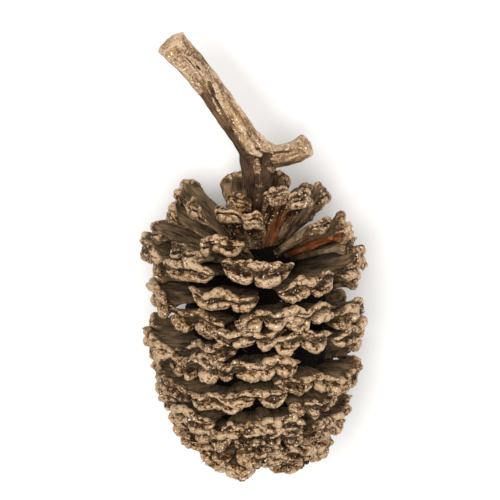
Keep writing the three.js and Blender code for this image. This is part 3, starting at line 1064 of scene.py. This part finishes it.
@dataclass
class Cone:
    """The seed cone: its core and its scales, in bands from the stem end to the tip."""

    form: ConeForm
    finish: ScaleFinish
    # The level that each band goes down to.
    bands: tuple[tuple[Part, float], ...] = (
        (Part.STEM_END, 1.5),
        (Part.SHOULDER, -2.2),
        (Part.WAIST, -6.0),
        (Part.LOWER, -10.0),
        (Part.TIP, -99.0),
    )
    # The core's outline, up from the tip and down into the hollow of the stalk.
    core: Rows = (
        (-14.8, 0.02), (-14.5, 1.4), (-12.6, 3.0), (-9.8, 4.0), (-6.0, 4.6), (-2.8, 4.6),
        (-1.2, 3.5), (0.2, 2.3), (0.9, 1.7), (0.2, 1.1), (-0.9, 1.0), (-1.0, 0.02),
    )
    core_sides: int = 96
    core_steps: int = 6
    least_radius: float = 0.02
    tip_levels: Pair = (12.6, 14.0)
    roughness: Rough = Rough(1.3, 0.25, 5, 3)
    tip_knobs: Rough = Rough(1.1, 0.7, 29)

    def build(self) -> None:
        """Builds every piece of the cone, band by band, and then its core."""
        material = self.finish.material("scale_wood")
        places = self.form.plan()
        upper_limit = math.inf
        for part, lower_limit in self.bands:
            surface = Surface()
            members = [place for place in places if lower_limit <= place.level < upper_limit]
            for place in members:
                Scale(place, self.form).add_to(surface)
            place_piece(surface, part.value, "cone", material)
            LOG.info("%s: %d scales", part.value, len(members))
            upper_limit = lower_limit
        place_piece(self.core_surface(), "core", "cone", material)

    def core_surface(self) -> Surface:
        """The woody core: a turned profile, a radius for each level, roughened by noise.

        Returns:
            A closed surface.
        """
        line = curve_weights((self.core_steps,) * (len(self.core) - 1)) @ np.array(self.core)
        level, radius = line[:, :1], np.maximum(line[:, 1:], self.least_radius)
        angle = np.arange(self.core_sides) * 2.0 * math.pi / self.core_sides
        ring = radius * np.sin(angle), level * np.ones_like(angle), radius * np.cos(angle)
        points = np.stack(ring, axis=-1)
        tip = smooth_step(*self.tip_levels, -points[..., 1])
        bump = self.roughness.at(points) + tip * np.abs(self.tip_knobs.at(points))
        away = points * AWAY_FROM_AXIS / np.maximum(radius, 0.5)[..., None]
        away = away * (1.0 - 0.6 * tip[..., None]) - tip[..., None] * np.array([0.0, 1.0, 0.0])
        points = points + away * bump[..., None]
        # Crest values of the core: lighter on crests, darker in crevices as painted shade
        crest_and_shade = grid_crest(points, -grid_normals(points), 3, 0.05)
        quads = grid_faces(len(line), self.core_sides)[:, [0, 3, 2, 1]]
        last = len(line) * self.core_sides
        rings = [np.arange(self.core_sides)[::-1], np.arange(last - self.core_sides, last)]
        # The core is near black with painted shade, except at its tip, where it shows
        values = {"dust": 0.6 * tip, "bare": 0.0 * tip, "painted_shade": 1.0 - 0.9 * tip}
        surface = Surface()
        surface.add(points, quads, {**values, "crest_and_shade": 0.6 * crest_and_shade, "grain": points}, rings)
        return surface


# The twig


def centreline(points: Array, count: int) -> Array:
    """Points on the centripetal Catmull-Rom curve through some points.

    Args:
        points: the points that it passes.
        count: how many points are wanted, evenly spread over the spans.

    Returns:
        An array of count positions.
    """
    first = 2.0 * points[0] - points[1]
    last = 2.0 * points[-1] - points[-2]
    held = np.vstack([first, points, last])
    gaps = np.sqrt(np.linalg.norm(np.diff(held, axis=0), axis=1))
    place = np.linspace(0.0, len(points) - 1.0, count)
    span = np.minimum(place.astype(int), len(points) - 2)
    t = (place - span)[:, None]
    before, here, after = (gaps[span + k][:, None] for k in range(3))
    p0, p1, p2, p3 = (held[span + k] for k in range(4))
    leave = ((p1 - p0) / before - (p2 - p0) / (before + here) + (p2 - p1) / here) * here
    reach = ((p2 - p1) / here - (p3 - p1) / (here + after) + (p3 - p2) / after) * here
    cubic = 2.0 * p1 - 2.0 * p2 + leave + reach
    square = -3.0 * p1 + 3.0 * p2 - 2.0 * leave - reach
    return p1 + leave * t + square * t**2 + cubic * t**3


def ring_points(frames: Array, radius: Array, angle: Array, push: Array) -> Array:
    """Points on rings: a middle, plus a radius turned by an angle, plus a push along the branch.

    Args:
        frames: the middles and the directions across, over and along the branch.
        radius: one for each point.
        angle: one for each point of a ring.
        push: one for each point.

    Returns:
        A grid of positions, rings by points.
    """
    middle, across, over, forward = frames
    turned = (radius * np.cos(angle))[..., None] * across
    risen = (radius * np.sin(angle))[..., None] * over
    return middle + turned + risen + push[..., None] * forward


@dataclass(frozen=True)
class Branch:
    """A length of twig: a ring whose radius varies by angle, carried along a curve."""

    points: tuple[Point, ...]
    radii: tuple[float, ...]
    rings: int
    seed: int
    dust: float
    dust_patches: float
    sides: int = 120
    slant: float = 0.0
    ridges: int = 5
    ridge_relief: float = 0.07
    ridge_twist: float = 5.0
    swellings: float = 9.0
    wrinkle_depth: float = 0.035
    crack_depth: float = 0.11
    lump_height: float = 0.06
    # How the noise along the branch is drawn out for wrinkles, cracks, lumps and patches.
    wrinkle_density: Point = (4.2, 4.2, 0.9)
    crack_density: Point = (0.42, 0.42, 0.3)
    lump_density: Point = (0.5, 0.5, 1.4)
    patch_density: Point = (0.35, 0.35, 0.5)
    split_depth: float = 0.1
    cap_rings: int = 12
    cap_bulge: float = 0.3
    cap_roughness: float = 0.05
    bare_strips: Rows = ()
    gilt_strips: Rows = ()
    splits: Rows = ()

    def cap(self, frames: Array, skin: Array, radius: float, angle: Array, end: int) -> Array:
        """One cut end: rings that shrink by a cosine and bulge by a sine, roughened by noise.

        Args:
            frames: the middle and directions of the end ring.
            skin: the end ring's radii.
            radius: the branch's own radius there.
            angle: one for each point of a ring.
            end: 0 for the branch's first end and -1 for its last.

        Returns:
            A grid of positions, in the order of the branch.
        """
        turn = np.linspace(0.0, 1.0, self.cap_rings + 1)[1:, None] * math.pi / 2.0
        ring = skin * (np.cos(turn) * 0.97 + 0.03)
        flat = np.stack([ring * np.cos(angle), ring * np.sin(angle), 0.0 * ring], axis=-1)
        rough = self.cap_roughness * rough_noise(flat * 3.0, self.seed + 21)
        push = (1.0 if end else -1.0) * (np.sin(turn) * self.cap_bulge * radius + rough)
        if end:
            push = push + self.slant * ring * np.cos(angle)
        rows = ring_points(frames, ring, angle, push)
        return rows if end else rows[::-1]

    def surface(self) -> Surface:
        """The branch's closed skin, its cut ends rounded in.

        The radius is the branch's own, times lengthwise ridges and slow swellings, plus
        fine wrinkles and cracks from noise that is drawn out along the branch.

        Returns:
            The surface.
        """
        line = centreline(np.array(self.points, float), self.rings)
        levels = np.array([(float(i), r, 0.0) for i, r in enumerate(self.radii)])
        radius = centreline(levels, self.rings)[:, 1]
        forward = np.gradient(line, axis=0)
        forward /= np.linalg.norm(forward, axis=1, keepdims=True)
        across = np.cross([0.0, 0.0, 1.0], forward)
        across /= np.linalg.norm(across, axis=1, keepdims=True)
        frames = np.stack([line, across, np.cross(across, forward), forward])
        t = np.linspace(0.0, 1.0, self.rings)[:, None]
        steps = np.linalg.norm(np.diff(line, axis=0), axis=1)
        travel = np.concatenate([[0.0], np.cumsum(steps)])[:, None]
        angle = np.arange(self.sides) * 2.0 * math.pi / self.sides
        ones = np.ones((self.rings, self.sides))
        ridge = 1.0 + self.ridge_relief * np.cos(self.ridges * angle + self.ridge_twist * t)
        swollen = 1.0 + self.ridge_relief * np.sin(self.swellings * t + 2.0 * angle)
        around = np.stack([np.cos(angle) * ones, np.sin(angle) * ones, travel * ones], axis=-1)
        drawn_out = around * self.wrinkle_density
        crack_line = np.abs(rough_noise(drawn_out * self.crack_density, self.seed + 7, octaves=2))
        crack = 1.0 - smooth_step(0.02, 0.09, crack_line)
        crack = crack * smooth_step(0.0, 0.3, rough_noise(drawn_out * 0.4, self.seed + 9, octaves=2))
        lumps = rough_noise(drawn_out * self.lump_density, self.seed + 13, octaves=2)
        skin = radius[:, None] * ridge * swollen + self.wrinkle_depth * rough_noise(drawn_out, self.seed)
        skin = skin - self.crack_depth * crack + self.lump_height * lumps

        lean = self.slant * smooth_step(0.93, 1.0, t) * skin * np.cos(angle)
        body = ring_points(frames[:, :, None], skin, angle, lean)
        caps = [self.cap(frames[:, end], skin[end], radius[end], angle, end) for end in (0, -1)]
        points = np.concatenate([caps[0], body, caps[1]])
        split = near_strips(points, self.splits)
        points = points - self.split_depth * split[..., None] * grid_normals(points)

        beyond = ((self.cap_rings, self.cap_rings), (0, 0))
        patch = rough_noise(drawn_out * self.patch_density, self.seed + 31)
        patch, crack = np.pad(patch, beyond), np.pad(crack, beyond)
        amount = np.clip(self.dust + self.dust_patches * patch - 0.8 * crack, 0.0, 1.2)
        amount = amount * (1.0 - near_strips(points, self.bare_strips)) * (1.0 - split)
        amount = np.maximum(amount, 0.8 * near_strips(points, self.gilt_strips))
        grain = np.stack([angle * 1.2 * ones, travel * ones, 0.0 * ones], axis=-1)
        normals = grid_normals(points)
        # Crest values of the bark: lighter on crests, darker in crevices as painted shade
        crest_and_shade = grid_crest(points, normals, 2, 0.02) + grid_crest(points, normals, 6, 0.08)
        values = {
            "dust": amount,
            "grain": np.pad(grain, (*beyond, (0, 0)), mode="edge"),
            "crest_and_shade": 0.6 * crest_and_shade,
        }
        last = len(points) * self.sides
        ends = [np.arange(self.sides), np.arange(last - self.sides, last)[::-1]]
        surface = Surface()
        surface.add(points, grid_faces(len(points), self.sides), values, ends)
        return surface


@dataclass(frozen=True)
class Twig:
    """The cut piece of twig with its side stub, and the stalk that joins it to the cone."""

    finish: BarkFinish
    stalk_finish: BarkFinish
    twig: Branch = Branch(
        points=(
            (3.25, 7.75, 0.5), (2.45, 7.25, 0.35), (1.2, 6.95, 0.15), (0.0, 7.3, 0.1),
            (-1.3, 8.9, 0.05), (-3.1, 11.5, 0.0), (-4.5, 13.3, 0.05), (-5.75, 14.75, 0.15),
        ),
        radii=(0.84, 0.7, 0.74, 1.0, 0.94, 0.88, 0.86, 0.98),
        rings=300,
        seed=3,
        dust=0.85,
        dust_patches=0.4,
        slant=0.08,
        bare_strips=(
            (-3.5, 11.2, 0.5, -2.7, 9.8, 0.5, 0.55),
            (-2.85, 9.6, 0.5, -0.35, 6.5, 0.6, 0.95),
            (0.6, 6.1, 0.3, 2.6, 6.4, 0.4, 0.8),
        ),
        splits=(
            (-3.2, 12.2, 0.9, -2.95, 11.4, 0.9, 0.2),
            (-2.75, 10.95, 0.9, -2.05, 9.7, 0.9, 0.2),
            (-2.7, 12.6, 0.8, -2.05, 11.4, 0.8, 0.16),
            (-4.0, 13.4, 0.9, -3.8, 13.2, 0.9, 0.14),
            (-0.9, 7.6, 1.0, 0.4, 7.7, 1.0, 0.13),
            (-1.3, 9.6, 0.9, -0.5, 8.5, 0.9, 0.12),
            (1.2, 7.3, 0.7, 2.6, 7.5, 0.8, 0.12),
        ),
    )
    stalk: Branch = Branch(
        points=((0.0, -0.8, 0.0), (0.0, 2.4, 0.1), (0.05, 5.0, 0.15), (0.1, 7.1, 0.1)),
        radii=(0.64, 0.66, 0.95, 1.25),
        rings=160,
        seed=17,
        dust=0.0,
        dust_patches=0.3,
        gilt_strips=((-0.1, 6.9, 1.0, 0.1, 6.1, 0.9, 0.4), (0.7, 6.3, 0.9, 1.1, 6.0, 0.6, 0.3)),
    )

    def build(self) -> None:
        """Builds the two branches."""
        gilded = self.finish.material("twig_bark")
        fibrous = self.stalk_finish.material("stalk_bark")
        place_piece(self.twig.surface(), "twig_and_stub", "twig", gilded)
        place_piece(self.stalk.surface(), "stalk", "twig", fibrous)


# The studio


@dataclass(frozen=True)
class SoftBox:
    """A square light: its name, place and size in metres, and its strength."""

    name: str
    place: Point
    size: float
    watts: float


@dataclass(frozen=True)
class Studio:
    """A pale floor, soft light and the camera at the photo's viewing angle."""

    pixels_per_mm: float = 14.8
    frame_pixels: float = 500.0
    origin_column: float = 257.0
    origin_row: float = 253.0
    lean: float = 18.0
    distance: float = 0.4
    sensor: float = 36.0
    nearest: float = 0.01
    farthest: float = 20.0
    floor_half: float = 2.0
    floor_colour: Colour = shade(245, 244, 242)
    floor_roughness: float = 0.9
    world_strength: float = 0.42
    lit_place: Point = (0.0, -0.002, 0.007)
    # One over the stem end, one on the right and one in front.
    boxes: tuple[SoftBox, ...] = (
        SoftBox("key_light", (-0.08, 0.14, 0.46), 0.30, 2.3),
        SoftBox("right_light", (0.40, 0.05, 0.30), 0.25, 0.7),
        SoftBox("front_light", (0.05, -0.40, 0.30), 0.30, 0.6),
    )

    def build(self) -> None:
        """Builds the floor, the world, the lights and the camera."""
        self.floor()
        self.world()
        for box in self.boxes:
            self.light(box)
        self.camera()

    def aim(self, place: Vector, target: Vector, up: Vector) -> Matrix:
        """A placing that looks from one point to another.

        Args:
            place: where it stands.
            target: what it looks at.
            up: what is up in its view.

        Returns:
            Its matrix.
        """
        back = (place - target).normalized()
        right = up.cross(back).normalized()
        turn = Matrix((right, back.cross(right), back)).transposed()
        return Matrix.Translation(place) @ turn.to_4x4()

    def show(self, name: str, data: bpy.types.ID, place: Matrix) -> bpy.types.Object:
        """Puts a camera, a light or a mesh in the scene.

        Args:
            name: the object's name.
            data: what it holds.
            place: its matrix.

        Returns:
            The object.
        """
        made = bpy.data.objects.new(name, data)
        made.matrix_world = place
        bpy.context.scene.collection.objects.link(made)
        return made

    def camera(self) -> None:
        """A long lens over the cone, aimed so that the cone's origin falls where the photo's does."""
        lean = math.radians(self.lean)
        towards = Vector((0.0, math.sin(lean), math.cos(lean)))
        up = Vector((0.0, math.cos(lean), -math.sin(lean)))
        middle = self.frame_pixels / 2.0
        right_by = (middle - self.origin_column) / self.pixels_per_mm * MM
        up_by = (self.origin_row - middle) / self.pixels_per_mm * MM
        origin = Vector((AXIS_X, CROWN_Y, AXIS_HEIGHT)) * MM
        target = origin + Vector((right_by, 0.0, 0.0)) + up * up_by
        data = bpy.data.cameras.new("camera")
        data.sensor_width = self.sensor
        data.lens = self.sensor * self.distance / (self.frame_pixels / self.pixels_per_mm * MM)
        data.clip_start, data.clip_end = self.nearest, self.farthest
        place = self.aim(target + towards * self.distance, target, up)
        bpy.context.scene.camera = self.show("camera", data, place)

    def floor(self) -> None:
        """A wide pale sheet under the cone."""
        half = self.floor_half
        corners = [(-half, -half, 0.0), (half, -half, 0.0), (half, half, 0.0), (-half, half, 0.0)]
        mesh = bpy.data.meshes.new("floor")
        mesh.from_pydata(corners, [], [(0, 1, 2, 3)])
        material = bpy.data.materials.new("pale_floor")
        material.use_nodes = True
        shader = material.node_tree.nodes["Principled BSDF"]
        shader.inputs["Base Color"].default_value = self.floor_colour
        shader.inputs["Roughness"].default_value = self.floor_roughness
        mesh.materials.append(material)
        floor = self.show("floor", mesh, Matrix.Identity(4))

    def world(self) -> None:
        """Even white light from all round."""
        world = bpy.data.worlds.new("studio")
        world.use_nodes = True
        background = world.node_tree.nodes["Background"]
        background.inputs["Color"].default_value = (1.0, 1.0, 1.0, 1.0)
        background.inputs["Strength"].default_value = self.world_strength
        bpy.context.scene.world = world
        bpy.context.scene.view_settings.view_transform = "Standard"

    def light(self, box: SoftBox) -> None:
        """Places a soft box, aimed at the cone.

        Args:
            box: its name, place, size and strength.
        """
        data = bpy.data.lights.new(box.name, "AREA")
        data.shape, data.size, data.energy = "SQUARE", box.size, box.watts
        place = self.aim(Vector(box.place), Vector(self.lit_place), Vector((0.0, 0.0, 1.0)))
        self.show(box.name, data, place)


def main() -> None:
    """Builds the cone, the twig and the studio, in that order."""
    logging.basicConfig(level=logging.INFO, format="%(name)s: %(message)s")
    fibres = fibre_group()
    dust = dust_group()
    Cone(ConeForm(), ScaleFinish(fibres, dust)).build()
    stalk_finish = BarkFinish(fibres, dust, dark=shade(30, 19, 12), light=shade(92, 69, 50))
    Twig(BarkFinish(fibres, dust), stalk_finish).build()
    Studio().build()


if __name__ == "__main__":
    main()
